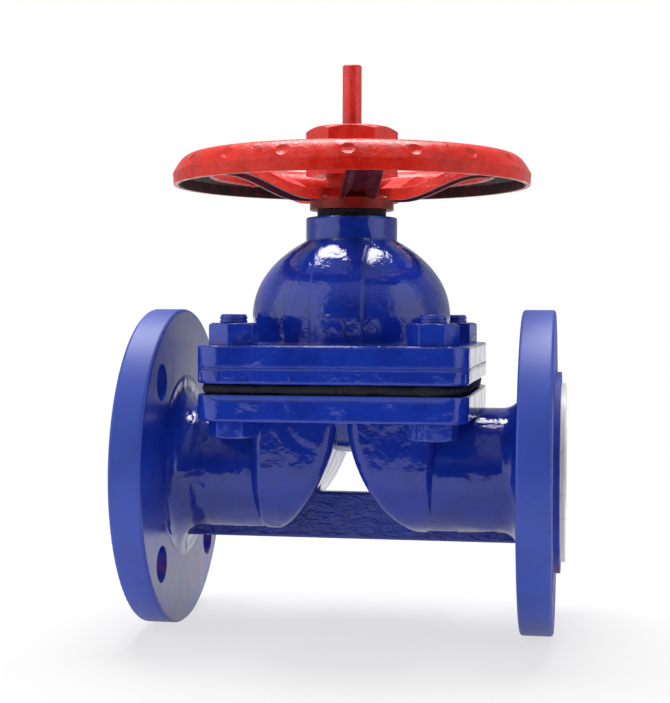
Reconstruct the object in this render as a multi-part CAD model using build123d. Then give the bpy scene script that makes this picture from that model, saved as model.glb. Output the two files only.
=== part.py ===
from build123d import *
import os
from math import cos, radians, sin, sqrt

# Weir diaphragm valve with flanged ends, drawn fully open.
# X runs along the pipe, Z is up, and the origin is under the valve's centre,
# level with the lowest point of the end flanges. All lengths are millimetres.

# end flanges
face_to_face = 210.0
flange_od = 160.0
flange_thickness = 19.0
raised_face_d = 99.0
raised_face_h = 3.0
bolt_circle_d = 125.0
flange_hole_d = 18.0
flange_hole_count = 4
flange_rim_round = 1.5
flange_neck_fillet = 10.0

# pipe bore, its lining and the cast wall round it
bore_d = 47.0
throat_d = 45.4
lining_t = 2.5
lining_mouth_t = 3.2
casting_wall = 5.35
lining_face_d = 88.0
lining_face_t = 2.3

# bowl, with its two legs that rise to the weir
bowl_length = 92.0
bowl_width = 68.6
bowl_drop = 0.4
bowl_corner_r = 7.0
leg_shoulder = 4.0
leg_gap = 5.0
leg_top = 26.0
leg_low_handle = 18.0
leg_high_handle = 24.0
leg_crease_r = 6.0
arc_dip = 0.6
core_length = 18.0
web_t = 8.0
web_bottom = 35.5
web_top = 12.0
web_round = 1.5

# wetted opening and weir
saddle_r = 30.0
weir_crest = 16.0
crest_round = 5.0
chamber_wall = 8.0
opening_corner_r = 24.0
shoulder = 1.0
lip_width = 6.0

# stack of plates between the bowl and the bonnet
body_face_h = 40.0
body_flange_t = 12.5
plate_length = 128.0
plate_width = 140.0
plate_corner_r = 12.0
plate_edge_round = 1.2
diaphragm_t = 5.0
facing_t = 1.0
facing_margin = 7.0
diaphragm_inset = 2.6
finger_plate_t = 7.0
bonnet_flange_t = 11.0

# bolts of the stack
bolt_d = 12.0
bolt_hole_d = 13.5
bolt_edge_x = 16.8
bolt_edge_y = 13.0
hex_af = 21.0
bolt_head_h = 8.0
nut_h = 10.4
bolt_end_h = 4.0
hex_chamfer = 1.0
head_turns = (2.0, 20.0, 12.0, 26.0)
nut_turns = (30.0, 2.0, 16.0, 8.0)

# bonnet
dome_foot_r = 48.5
dome_r = 49.7
dome_widest_h = 13.0
dome_h = 51.3
dome_side_handle = 16.0
dome_top_handle_r = 9.7
dome_top_handle_z = 9.3
dome_wall = 6.0
neck_r = 22.9
neck_h = 11.7
neck_round = 1.0
band_width = 25.0
band_proud = 1.4
band_top_drop = 3.0
pad_r = 7.0
pad_offset = -2.4
pad_h = 14.0
pad_proud = 1.2
guide_gap = 0.4
guide_rib_t = 4.0
guide_rib_reach = 12.0

# spindle sleeve and its bearings
sleeve_r = 13.0
sleeve_nut_r = 14.0
sleeve_collar_r = 17.5
sleeve_collar_t = 5.4
spigot_r = 10.0
spigot_h = 39.5
thread_length = 20.0
bush_r = 16.5
bush_h = 14.0
thrust_washer_t = 2.5
dust_ring_r = 17.3
dust_ring_h = 3.6
seal_section = 2.0
seal_height = 7.0

# stem, compressor and what joins them
thread_pitch = 4.0
turns_to_close = 6.0
stem_r = 8.0
stem_thread_l = 40.0
stem_foot_r = 7.0
stem_foot_l = 27.0
rod_r = 4.8
rod_chamfer = 0.6
stem_top_h = 76.4
compressor_width = 18.0
compressor_length = 44.0
compressor_h = 14.0
compressor_column_r = 13.0
finger_reach = 26.0
finger_t = 5.0
finger_pitch = 14.0
finger_slope = 0.45
ear_t = 8.0
ear_h = 10.0
ear_reach = 37.0
ear_above_plate = 1.0
pin_r = 3.0
pin_height = 26.0
stud_r = 4.0
stud_head_r = 8.0
stud_head_t = 1.5
stud_cover = 0.5
stud_length = 12.0

# handwheel
wheel_r = 89.5
rim_width = 17.5
rim_lean = 1.0
rim_crown_shift = 2.0
rim_crown_handle = 4.5
rim_side_handle = 4.0
wheel_wall = 3.0
wheel_band_h = 6.4
wheel_crown_h = 15.4
wheel_rise = 11.0
lip_rise = 3.0
hub_r = 21.1
hub_ring_h = 5.5
hub_neck_r = 12.8
hub_h = 17.0
hub_cone_h = 5.3
spoke_count = 5
spoke_phase = 15.0
spoke_top_w = 11.0
spoke_foot_w = 18.0
spoke_depth = 6.0
spoke_wall = 2.4
spoke_bend_r = 26.0
spoke_seat_h = 10.5
spoke_flat = 9.0
spoke_shoulder = 10.0
scoop_count = 16
scoop_r = 9.0
scoop_depth = 1.5
scoop_phase = -2.0
scoop_tilt = 37.0
scoop_inset = 1.6
scoop_lift = 1.0
wheel_nut_af = 40.0
wheel_nut_h = 24.2
wheel_nut_turn = 8.0
wheel_nut_chamfer = 2.0
key_w = 4.0
key_t = 4.0
key_l = 12.0
key_depth = 2.5

# clearances
running_fit = 0.05
face_gap = 0.1
sliding_gap = 1.0
rod_gap = 0.4

# how far cuts and joined solids run past a face
past = 1.0

# heights and radii worked out from the values above
z_axis = flange_od / 2
half_length = face_to_face / 2
pipe_r = bore_d / 2 + lining_t + casting_wall
leg_reach = bowl_length / 2 - leg_shoulder
opening_length = bowl_length - 2 * chamber_wall
bolt_pitch_x = plate_length - 2 * bolt_edge_x
bolt_pitch_y = plate_width - 2 * bolt_edge_y
wheel_lip_r = wheel_r - rim_width
z_body_face = z_axis + body_face_h
z_body_flange = z_body_face - body_flange_t
z_finger_plate = z_body_face + diaphragm_t
z_bonnet = z_finger_plate + finger_plate_t
z_bonnet_top = z_bonnet + bonnet_flange_t
z_neck_foot = z_bonnet_top + dome_h
z_neck_top = z_neck_foot + neck_h
z_bush = z_neck_top - bush_h
z_hub = z_neck_top + dust_ring_h + face_gap
z_wheel_nut = z_hub + hub_h
z_saddle = z_axis + weir_crest + saddle_r
z_thread_top = z_bush
z_thread_bottom = z_thread_top - thread_length
z_collar_top = z_bush - thrust_washer_t - face_gap
z_wheel = z_hub + wheel_rise
opening_width = 2 * sqrt(saddle_r**2 - (z_saddle - z_body_face) ** 2)
stroke = thread_pitch * turns_to_close
z_ear = z_bonnet + ear_above_plate + stroke


def upright(radius, bottom, top):
    """Solid cylinder about Z between two heights."""
    return Pos(0, 0, bottom) * Cylinder(radius, top - bottom, align=(Align.CENTER, Align.CENTER, Align.MIN))


def sleeve(outer, inner, bottom, top):
    """Ring about Z between two heights."""
    return upright(outer, bottom, top) - upright(inner, bottom - past, top + past)


def along_x(radius, start, end, height):
    """Solid cylinder along the pipe between two X values, at the given height."""
    middle = (start + end) / 2
    return Pos(middle, 0, height) * Rot(0, -90, 0) * Cylinder(radius, abs(end - start))


def block(low, high):
    """Box from its lowest to its highest corner."""
    size = [h - l for l, h in zip(low, high)]
    centre = [(h + l) / 2 for l, h in zip(low, high)]
    return Pos(*centre) * Box(*size)


def rounded_plate(length, width, corner, bottom, top):
    """Plate with rounded upright corners, centred on the stem."""
    outline = RectangleRounded(length, width, corner)
    return Pos(0, 0, bottom) * extrude(outline, top - bottom)


def eased_plate(bottom, top):
    """One plate of the bolted stack, with its top and bottom edges rounded."""
    plate = rounded_plate(plate_length, plate_width, plate_corner_r, bottom, top)
    rims = plate.edges().group_by(Axis.Z)[0] + plate.edges().group_by(Axis.Z)[-1]
    return fillet(rims, plate_edge_round)


def bolt_places():
    """Places of the stack's bolts, seen from above."""
    return [
        (-bolt_pitch_x / 2, -bolt_pitch_y / 2),
        (bolt_pitch_x / 2, -bolt_pitch_y / 2),
        (bolt_pitch_x / 2, bolt_pitch_y / 2),
        (-bolt_pitch_x / 2, bolt_pitch_y / 2),
    ]


def drill_stack(plate, bottom, top):
    """The plate with its bolt holes drilled."""
    for x, y in bolt_places():
        plate -= Pos(x, y, 0) * upright(bolt_hole_d / 2, bottom - past, top + past)
    return plate


def hex_prism(across_flats, bottom, height, bevel):
    """Hexagon with its top corners turned off, as on a nut."""
    prism = Pos(0, 0, bottom) * extrude(RegularPolygon(across_flats / 2, 6, major_radius=False), height)
    corner_r = across_flats / 2 / cos(radians(30))
    turned = upright(corner_r, bottom, bottom + height)
    turned = chamfer(turned.edges().group_by(Axis.Z)[-1], bevel, 2 * bevel)
    return prism & turned


def leg_curve(inward, side):
    """Underside of one leg, or the same curve moved inward through the wall."""
    scale = 1 - inward / leg_reach
    start_z = z_axis - pipe_r - bowl_drop - arc_dip + inward
    top_x = leg_gap / 2 + inward
    return Bezier(
        (side * leg_reach, start_z),
        (side * (leg_reach - leg_low_handle * scale), start_z),
        (side * top_x, z_axis + leg_top - leg_high_handle * scale),
        (side * top_x, z_axis + leg_top),
    )


def extrude_across(wire, half_width):
    """Solid from a side profile drawn in X and Z, as wide as the value on both sides of the centre."""
    face = make_face(wire)
    profile = Plane.XZ * face
    return extrude(profile, half_width, both=True)


def climb(edge):
    """How far an edge rises from one end to the other."""
    return abs((edge @ 1).Z - (edge @ 0).Z)


def far_x(edge):
    """How far an edge reaches from the valve's centre along the pipe."""
    return max(abs((edge @ 0).X), abs((edge @ 1).X))


def bowl_leg(side):
    """One leg of the bowl: a side profile cut to the bowl's round-bottomed section."""
    curve = leg_curve(0, side)
    end_x = side * bowl_length / 2
    top_z = z_body_flange + body_flange_t / 2
    start = curve @ 0
    finish = curve @ 1
    outline = curve + Polyline(
        (finish.X, finish.Y), (finish.X, top_z), (end_x, top_z), (end_x, start.Y), (start.X, start.Y)
    )
    leg = extrude_across(outline, bowl_width)
    low = z_axis - pipe_r - bowl_drop
    round_z = low + bowl_width / 2
    round_part = along_x(bowl_width / 2, -bowl_length, bowl_length, round_z)
    walls = block((-bowl_length, -bowl_width / 2, round_z), (bowl_length, bowl_width / 2, top_z + past))
    leg = leg & (round_part + walls)
    creases = [e for e in leg.edges() if abs(e.center().Y) > 1 and 0.5 < climb(e) and far_x(e) < leg_reach]
    leg = fillet(creases, leg_crease_r)
    corners = [e for e in leg.edges() if abs(abs(e.center().X) - bowl_length / 2) < 0.01 and e.center().Z < top_z - 1]
    return fillet(corners, bowl_corner_r)


def on_cylinder(edge, radius, height):
    """Whether a curved edge runs round a cylinder that lies along X at the given height."""
    if edge.geom_type == GeomType.LINE:
        return False
    places = [edge @ 0, edge @ 0.5, edge @ 1]
    return all(abs(sqrt(p.Y**2 + (p.Z - height) ** 2) - radius) < 0.01 for p in places)


def passage(grow):
    """Bore from end to end: a mouth in each flange and a taper from there to the weir."""
    end = half_length + lining_face_t
    mouth = half_length - flange_thickness
    mouth_r = bore_d / 2 + grow * lining_mouth_t / lining_t
    outline = Polyline(
        (0, 0), (end, 0), (end, mouth_r), (mouth, bore_d / 2 + grow), (0, throat_d / 2 + grow), close=True
    )
    half = Rot(90, 0, 0) * revolve(make_face(outline), Axis.X)
    return Pos(0, 0, z_axis) * (half + Rot(0, 0, 180) * half)


def flow_space(grow):
    """The space the liquid runs in, or that space grown by a thickness all round."""
    half_foot = throat_d / 2 + grow
    half_top = opening_width / 2 + shoulder + grow
    section = Polyline(
        (-half_foot, z_axis), (half_foot, z_axis), (half_top, z_body_face), (-half_top, z_body_face), close=True
    )
    chamber = extrude(Plane.YZ * make_face(section), opening_length / 2 + grow, both=True)
    outline = rounded_plate(
        opening_length + 2 * grow, 2 * half_top, opening_corner_r + grow, z_axis - past, z_body_face + past
    )
    return passage(grow) + (chamber & outline) - weir(grow)


def weir(grow):
    """The ridge across the bore, with its curved seat; the seat is deeper where the space is grown."""
    inward = casting_wall + lining_t - grow
    right = leg_curve(inward, 1)
    left = leg_curve(inward, -1)
    foot_z = z_axis - pipe_r - casting_wall
    head_z = z_saddle
    a, b, c, d = right @ 0, right @ 1, left @ 1, left @ 0
    outline = right + Polyline((b.X, b.Y), (b.X, head_z), (c.X, head_z), (c.X, c.Y)) + left
    outline += Polyline((d.X, d.Y), (d.X, foot_z), (a.X, foot_z), (a.X, a.Y))
    ridge = extrude_across(outline, bowl_width / 2)
    seat_r = saddle_r + grow
    ridge -= along_x(seat_r, -leg_reach, leg_reach, z_saddle)
    crests = [e for e in ridge.edges() if on_cylinder(e, seat_r, z_saddle)]
    return fillet(crests, crest_round - grow)


def end_flange(side):
    """End flange with its raised face and the filleted neck that joins it to the pipe."""
    face = half_length
    plate = face - raised_face_h
    back = face - flange_thickness
    inner = leg_reach - 2 * past
    outline = Polyline(
        (inner, 0), (face, 0), (face, raised_face_d / 2), (plate, raised_face_d / 2), (plate, flange_od / 2),
        (back, flange_od / 2), (back, pipe_r + flange_neck_fillet),
    )
    neck = RadiusArc(
        (back, pipe_r + flange_neck_fillet), (back - flange_neck_fillet, pipe_r), flange_neck_fillet
    )
    foot = Polyline((back - flange_neck_fillet, pipe_r), (inner, pipe_r), (inner, 0))
    turned = revolve(make_face(outline + neck + foot), Axis.X)
    rim = [e for e in turned.edges().filter_by(GeomType.CIRCLE) if abs(e.radius - flange_od / 2) < 0.01]
    turned = fillet(rim, flange_rim_round)
    spread = 360 / flange_hole_count
    for index in range(flange_hole_count):
        angle = radians(spread * (index + 0.5))
        y = bolt_circle_d / 2 * cos(angle)
        z = bolt_circle_d / 2 * sin(angle)
        turned -= Pos(0, y, z) * along_x(flange_hole_d / 2, back - past, face + past, 0)
    if side < 0:
        turned = Rot(0, 0, 180) * turned
    return Pos(0, 0, z_axis) * turned


def make_body():
    """Cast body: two flanged pipe ends, the bowl on its two legs, the web below and the top flange."""
    half = half_length - flange_thickness + past
    web = block((-half, -web_t / 2, z_axis - web_bottom), (half, web_t / 2, z_axis - web_top))
    web = fillet(web.edges().filter_by(Axis.X), web_round)
    weir_back = along_x(saddle_r + lining_t + casting_wall, -core_length / 2, core_length / 2, z_saddle)
    half_w = bowl_width / 2 - past
    core = weir_back & block((-core_length, -half_w, z_axis), (core_length, half_w, z_body_flange + past))
    body = eased_plate(z_body_flange, z_body_face)
    body += bowl_leg(1)
    body += bowl_leg(-1)
    body += core
    body += web
    body += end_flange(1)
    body += end_flange(-1)
    body = drill_stack(body, z_body_flange, z_body_face)
    body -= flow_space(lining_t)
    body -= lip_seat()
    return body


def lip_seat():
    """Round-cornered recess in the top face that takes the lining's lip."""
    half_top = opening_width / 2 + shoulder
    grow = lining_t + lip_width
    return rounded_plate(
        opening_length + 2 * grow, 2 * (half_top + grow), opening_corner_r + grow, z_body_face - lining_t, z_body_face
    )


def make_lining():
    """Moulded lining of the bore and the bowl, turned over the end faces and the top face."""
    lining = flow_space(lining_t) + lip_seat()
    for side in (-1, 1):
        lining += along_x(lining_face_d / 2, side * half_length, side * (half_length + lining_face_t), z_axis)
    return lining - flow_space(0)


def facing_outline(bottom, top):
    """Outline of the diaphragm's wetted facing, between two heights."""
    length = opening_length + 2 * facing_margin
    width = opening_width + 2 * facing_margin
    return rounded_plate(length, width, opening_corner_r + facing_margin, bottom, top)


def make_diaphragm():
    """Rubber diaphragm, clamped all round between the body and the finger plate."""
    rubber = rounded_plate(
        plate_length - 2 * diaphragm_inset, plate_width - 2 * diaphragm_inset,
        plate_corner_r - diaphragm_inset / 2, z_body_face, z_finger_plate,
    )
    rubber = drill_stack(rubber, z_body_face, z_finger_plate)
    rubber -= facing_outline(z_body_face, z_body_face + facing_t)
    return rubber - make_stud()


def make_stud():
    """Stud moulded into the diaphragm by its head and screwed into the compressor."""
    head_z = z_finger_plate - stud_head_t - facing_t - stud_cover
    stud = upright(stud_head_r, head_z, head_z + stud_head_t)
    return stud + upright(stud_r, head_z, z_finger_plate + stud_length)


def compressor_plan(gap, bottom, top):
    """The compressor's outline seen from above: a bar across the pipe with fingers both ways."""
    half_w = compressor_width / 2 + gap
    half_l = compressor_length / 2 + gap
    plan = block((-half_w, -half_l, bottom), (half_w, half_l, top))
    for row in (-1, 0, 1):
        middle = row * finger_pitch
        half_t = finger_t / 2 + gap
        reach = finger_reach + gap
        plan += block((-reach, middle - half_t, bottom), (reach, middle + half_t, top))
    return plan


def make_finger_plate():
    """Plate that backs the diaphragm round the compressor and clamps its edge."""
    plate = eased_plate(z_finger_plate, z_bonnet)
    low = z_finger_plate - past
    high = z_bonnet + past
    plate -= compressor_plan(sliding_gap, low, high)
    plate -= upright(compressor_column_r + sliding_gap, low, high)
    return drill_stack(plate, z_finger_plate, z_bonnet)


def dome_side(inset):
    """Curve of the dome from its widest place up to the neck, moved in by a wall."""
    wide_z = z_bonnet_top + dome_widest_h
    return Bezier(
        (dome_r - inset, wide_z),
        (dome_r - inset, wide_z + dome_side_handle - inset / 2),
        (neck_r + (dome_r - neck_r - dome_top_handle_r) - inset, z_neck_foot - dome_top_handle_z - inset),
        (neck_r - inset / 2, z_neck_foot - inset),
    )


def dome_solid(inset):
    """Dome turned about the stem, from the bonnet's foot up to the foot of the neck."""
    curve = dome_side(inset)
    wide = curve @ 0
    finish = curve @ 1
    foot_r = dome_foot_r - inset
    outline = Polyline((0, z_bonnet), (foot_r, z_bonnet), (foot_r, z_bonnet_top), (wide.X, wide.Y))
    outline += curve
    outline += Polyline((finish.X, finish.Y), (0, finish.Y), (0, z_bonnet))
    return revolve(Plane.XZ * make_face(outline), Axis.Z)


def raised_band():
    """Upright band that stands proud of the dome on its front and back."""
    skin = dome_solid(-band_proud)
    top = z_neck_foot - band_top_drop
    front = block((-band_width / 2, -dome_r * 2, z_bonnet_top - past), (band_width / 2, -neck_r / 2, top))
    back = Rot(0, 0, 180) * front
    return skin & (front + back)


def foot_pads():
    """Round-topped pad at the foot of each band."""
    skin = dome_solid(-band_proud - pad_proud)
    far = dome_r * 2
    round_z = z_bonnet_top + pad_h - pad_r
    disc = Pos(pad_offset, -far / 2 - neck_r / 2, round_z) * Rot(90, 0, 0) * Cylinder(pad_r, far - neck_r)
    stalk = block((pad_offset - pad_r, -far, z_bonnet_top - past), (pad_offset + pad_r, -neck_r, round_z))
    front = disc + stalk
    return skin & (front + Rot(0, 0, 180) * front)


def guide_ribs():
    """Pairs of upright ribs inside the dome, which keep the compressor from turning."""
    top = z_ear + ear_h + ear_above_plate
    ribs = None
    for x_side in (-1, 1):
        near = x_side * (ear_t / 2 + guide_gap)
        far = near + x_side * guide_rib_t
        for y_side in (-1, 1):
            inner = y_side * (dome_r - dome_wall - guide_rib_reach)
            outer = y_side * (dome_r - dome_wall / 2)
            xs = sorted((near, far))
            ys = sorted((inner, outer))
            rib = block((xs[0], ys[0], z_bonnet), (xs[1], ys[1], top))
            ribs = rib if ribs is None else ribs + rib
    return ribs & dome_solid(dome_wall / 2)


def make_bonnet():
    """Cast bonnet: bolted flange, dome and the neck that carries the spindle sleeve."""
    bonnet = eased_plate(z_bonnet, z_bonnet_top)
    neck = upright(neck_r, z_neck_foot - dome_wall / 2, z_neck_top)
    neck = fillet(neck.edges().group_by(Axis.Z)[-1], neck_round)
    bonnet += dome_solid(0)
    bonnet += neck
    bonnet += raised_band()
    bonnet += foot_pads()
    bonnet = drill_stack(bonnet, z_bonnet, z_bonnet_top)
    bonnet -= dome_solid(dome_wall)
    bonnet -= upright(sleeve_collar_r + sliding_gap, z_bonnet, z_bush)
    bonnet -= upright(bush_r, z_bush - past, z_neck_top + past)
    bonnet += guide_ribs()
    return bonnet


def make_sleeve():
    """Spindle sleeve: nut thread below, collar under the neck and spigot for the handwheel."""
    body = upright(sleeve_nut_r, z_thread_bottom, z_collar_top)
    body += upright(sleeve_collar_r, z_collar_top - sleeve_collar_t, z_collar_top)
    body += upright(sleeve_r, z_collar_top, z_hub)
    body += upright(spigot_r, z_hub, z_hub + spigot_h)
    body -= upright(stem_r + running_fit, z_thread_bottom - past, z_thread_top)
    body -= upright(stem_r + rod_gap, z_thread_top, z_hub - face_gap)
    body -= upright(rod_r + rod_gap, z_hub - past, z_hub + spigot_h + past)
    body -= make_key()
    return body - seal_groove()


def seal_groove():
    """Groove round the sleeve for its seal ring."""
    z = z_neck_top - seal_height
    return sleeve(sleeve_r + past, sleeve_r - seal_section, z - seal_section / 2, z + seal_section / 2)


def make_seal():
    """Seal ring that keeps the grease in the bush."""
    z = z_neck_top - seal_height
    return sleeve(sleeve_r, sleeve_r - seal_section, z - seal_section / 2, z + seal_section / 2)


def make_bush():
    """Bearing bush pressed into the neck."""
    return sleeve(bush_r, sleeve_r + running_fit, z_bush, z_neck_top)


def make_thrust_washer():
    """Washer that takes the closing load between the sleeve's collar and the neck."""
    return sleeve(sleeve_collar_r, sleeve_r + rod_gap, z_bush - thrust_washer_t, z_bush)


def make_dust_ring():
    """Ring that fills the gap between the neck and the handwheel's hub."""
    return sleeve(dust_ring_r, sleeve_r + rod_gap, z_neck_top, z_neck_top + dust_ring_h)


def make_stem():
    """Rising stem: foot in the compressor, thread in the sleeve and a plain rod out of the top."""
    foot_z = z_ear + ear_h - stem_foot_l
    thread_z = z_ear + ear_h
    stem = upright(stem_foot_r, foot_z, thread_z)
    stem += upright(stem_r, thread_z, thread_z + stem_thread_l)
    stem += upright(rod_r, thread_z + stem_thread_l, z_neck_top + stem_top_h)
    tip = stem.edges().group_by(Axis.Z)[-1]
    stem = chamfer(tip, rod_chamfer)
    return stem - make_pin()


def make_pin():
    """Cross pin that ties the stem to the compressor."""
    return along_x(pin_r, -compressor_column_r, compressor_column_r, z_finger_plate + pin_height)


def make_compressor():
    """Compressor that presses the diaphragm on the weir, with its fingers and its two guide ears."""
    low = z_finger_plate
    high = low + compressor_h
    seat_r = saddle_r - diaphragm_t
    shape = compressor_plan(0, low, high + seat_r)
    seat = along_x(seat_r, -finger_reach - past, finger_reach + past, low + seat_r)
    shape = shape & seat
    shape = shape & block((-finger_reach, -compressor_length, low), (finger_reach, compressor_length, high))
    slope = finger_reach - compressor_width / 2
    tip = finger_reach + past
    wedge = Polyline((compressor_width / 2, low - past), (tip, low - past), (tip, low + slope * finger_slope), close=True)
    for side in (0, 180):
        shape -= Rot(0, 0, side) * extrude_across(wedge, compressor_length)
    shape += upright(compressor_column_r, low + compressor_h / 2, z_ear + ear_h)
    shape += block((-ear_t / 2, -ear_reach, z_ear), (ear_t / 2, ear_reach, z_ear + ear_h))
    shape -= upright(stem_foot_r, z_ear + ear_h - stem_foot_l, z_ear + ear_h + past)
    shape -= make_stud()
    return shape - make_pin()


def wheel_rim():
    """Hollow rim, open below, with a flat outer band and a rounded crown."""
    low = z_wheel
    shoulder_z = low + wheel_band_h
    top = low + wheel_crown_h
    wall = wheel_wall
    lip_z = low + lip_rise
    crown_r = (wheel_r + wheel_lip_r) / 2 + rim_crown_shift
    inner_handle = rim_crown_handle - wall / 3
    crown = Bezier(
        (wheel_r, shoulder_z), (wheel_r - rim_lean, top - rim_lean), (crown_r + rim_crown_handle, top), (crown_r, top)
    )
    inner_side = Bezier(
        (crown_r, top), (crown_r - rim_crown_handle, top), (wheel_lip_r, top - rim_side_handle), (wheel_lip_r, lip_z)
    )
    under = top - wall
    inside_r = wheel_r - wall
    inside_lip_r = wheel_lip_r + wall
    inner_crown = Bezier(
        (inside_r, shoulder_z), (inside_r - rim_lean, under - rim_lean), (crown_r + inner_handle, under), (crown_r, under)
    )
    inner_lip = Bezier(
        (crown_r, under), (crown_r - inner_handle, under), (inside_lip_r, under - rim_side_handle), (inside_lip_r, lip_z)
    )
    outline = Polyline((wheel_r, low), (wheel_r, shoulder_z)) + crown + inner_side
    outline += Polyline((wheel_lip_r, lip_z), (wheel_lip_r + wall, lip_z)) + inner_lip + inner_crown
    outline += Polyline((wheel_r - wall, shoulder_z), (wheel_r - wall, low), (wheel_r, low))
    return revolve(Plane.XZ * make_face(outline), Axis.Z)


def wheel_hub():
    """Hub of the handwheel, without its bore: a broad ring below and a narrow neck under the nut."""
    flare_z = z_hub + hub_ring_h
    top = z_hub + hub_h
    outline = Polyline(
        (0, z_hub), (hub_r, z_hub), (hub_r, flare_z), (hub_neck_r, flare_z + hub_cone_h),
        (hub_neck_r, top), (0, top), close=True,
    )
    return revolve(Plane.XZ * make_face(outline), Axis.Z)


def spoke():
    """One channel-shaped spoke, open below, that climbs from the hub to the rim."""
    low_z = z_hub + spoke_seat_h
    high_z = z_wheel + wheel_band_h
    start = hub_neck_r
    end = wheel_lip_r + wheel_wall / 2
    foot = (hub_r + spoke_flat, 0, low_z)
    head = (wheel_lip_r - spoke_shoulder, 0, high_z)
    path = FilletPolyline((start, 0, low_z), foot, head, (end, 0, high_z), radius=spoke_bend_r)
    half_top = spoke_top_w / 2
    half_foot = spoke_foot_w / 2
    wall = spoke_wall
    section = Polyline(
        (-half_foot, -spoke_depth), (-half_top, 0), (half_top, 0), (half_foot, -spoke_depth),
        (half_foot - wall, -spoke_depth), (half_top - wall, -wall), (-half_top + wall, -wall),
        (-half_foot + wall, -spoke_depth), close=True,
    )
    plane = Plane(origin=(start, 0, low_z), x_dir=(0, 1, 0), z_dir=(1, 0, 0))
    return sweep(plane * make_face(section), path=path)


def grip_scoops():
    """Shallow hollows round the outer shoulder of the rim."""
    shoulder_x = wheel_r - scoop_inset
    shoulder_z = z_wheel + (wheel_band_h + wheel_crown_h) / 2 + scoop_lift
    away = scoop_r - scoop_depth
    tilt = radians(scoop_tilt)
    ball = Pos(shoulder_x + away * cos(tilt), 0, shoulder_z + away * sin(tilt)) * Sphere(scoop_r)
    return [Rot(0, 0, scoop_phase - 90 + index * 360 / scoop_count) * ball for index in range(scoop_count)]


def make_handwheel():
    """Handwheel with five channel spokes."""
    wheel = wheel_rim()
    wheel += wheel_hub()
    for index in range(spoke_count):
        wheel += Rot(0, 0, spoke_phase - 90 + index * 360 / spoke_count) * spoke()
    for ball in grip_scoops():
        wheel -= ball
    wheel -= upright(spigot_r, z_hub - past, z_hub + hub_h + past)
    return wheel - make_key()


def make_key():
    """Parallel key between the spigot and the hub."""
    inner = spigot_r - key_depth
    bottom = z_hub + (hub_h - key_l) / 2
    return block((inner, -key_w / 2, bottom), (inner + key_t, key_w / 2, bottom + key_l))


def make_wheel_nut():
    """Deep nut that clamps the handwheel on the spigot."""
    nut = Rot(0, 0, wheel_nut_turn) * hex_prism(wheel_nut_af, z_wheel_nut, wheel_nut_h, wheel_nut_chamfer)
    return nut - upright(spigot_r, z_wheel_nut - past, z_wheel_nut + wheel_nut_h + past)


def make_bolts():
    """Bolts of the stack, heads down."""
    grip = z_bonnet_top - z_body_flange
    bolts = []
    for (x, y), turn in zip(bolt_places(), head_turns):
        head = Rot(180, 0, 0) * hex_prism(hex_af, 0, bolt_head_h, hex_chamfer)
        shank = upright(bolt_d / 2, 0, grip + nut_h + bolt_end_h)
        shank = chamfer(shank.edges().group_by(Axis.Z)[-1], hex_chamfer)
        bolts.append(Pos(x, y, z_body_flange) * Rot(0, 0, turn) * (head + shank))
    return Compound(children=bolts)


def make_nuts():
    """Nuts of the stack, on top of the bonnet's flange."""
    nuts = []
    for (x, y), turn in zip(bolt_places(), nut_turns):
        nut = hex_prism(hex_af, 0, nut_h, hex_chamfer) - upright(bolt_d / 2, -past, nut_h + past)
        nuts.append(Pos(x, y, z_bonnet_top) * Rot(0, 0, turn) * nut)
    return Compound(children=nuts)


parts = {
    "body": make_body,
    "body_lining": make_lining,
    "diaphragm_facing": lambda: facing_outline(z_body_face, z_body_face + facing_t),
    "diaphragm": make_diaphragm,
    "diaphragm_stud": make_stud,
    "finger_plate": make_finger_plate,
    "bonnet": make_bonnet,
    "bonnet_bolts": make_bolts,
    "bonnet_nuts": make_nuts,
    "compressor": make_compressor,
    "compressor_pin": make_pin,
    "stem": make_stem,
    "spindle_sleeve": make_sleeve,
    "sleeve_seal": make_seal,
    "sleeve_bush": make_bush,
    "thrust_washer": make_thrust_washer,
    "dust_ring": make_dust_ring,
    "drive_key": make_key,
    "handwheel": make_handwheel,
    "handwheel_nut": make_wheel_nut,
}

os.makedirs("parts", exist_ok=True)
for name, make in parts.items():
    export_step(make(), f"parts/{name}.step")
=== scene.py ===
"""Flanged weir diaphragm valve: every finish, the handwheel, rubber and threaded details, and a studio."""

import logging
import math
from dataclasses import dataclass
from enum import Enum

import bmesh
import bpy
from mathutils import Matrix, Vector

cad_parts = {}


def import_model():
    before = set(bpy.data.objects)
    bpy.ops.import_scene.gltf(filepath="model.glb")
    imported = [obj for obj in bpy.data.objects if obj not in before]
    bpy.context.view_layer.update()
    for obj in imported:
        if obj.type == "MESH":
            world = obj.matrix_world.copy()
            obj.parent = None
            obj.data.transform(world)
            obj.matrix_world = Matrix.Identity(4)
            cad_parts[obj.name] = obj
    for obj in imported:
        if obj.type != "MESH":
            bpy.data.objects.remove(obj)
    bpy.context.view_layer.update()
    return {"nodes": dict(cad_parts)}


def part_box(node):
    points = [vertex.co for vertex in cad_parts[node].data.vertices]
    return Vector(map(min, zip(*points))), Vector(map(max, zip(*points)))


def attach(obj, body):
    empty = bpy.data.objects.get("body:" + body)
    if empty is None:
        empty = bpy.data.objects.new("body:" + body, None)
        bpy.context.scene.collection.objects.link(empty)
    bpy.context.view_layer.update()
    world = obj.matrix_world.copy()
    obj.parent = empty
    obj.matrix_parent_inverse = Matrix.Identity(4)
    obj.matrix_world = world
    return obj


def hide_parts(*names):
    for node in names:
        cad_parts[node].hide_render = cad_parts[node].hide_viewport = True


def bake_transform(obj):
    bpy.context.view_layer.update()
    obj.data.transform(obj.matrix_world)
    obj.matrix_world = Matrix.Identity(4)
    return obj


LOG = logging.getLogger("valve")
MM = 0.001
Socket = bpy.types.NodeSocket
Piece = bpy.types.Object
Paint = bpy.types.Material


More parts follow.
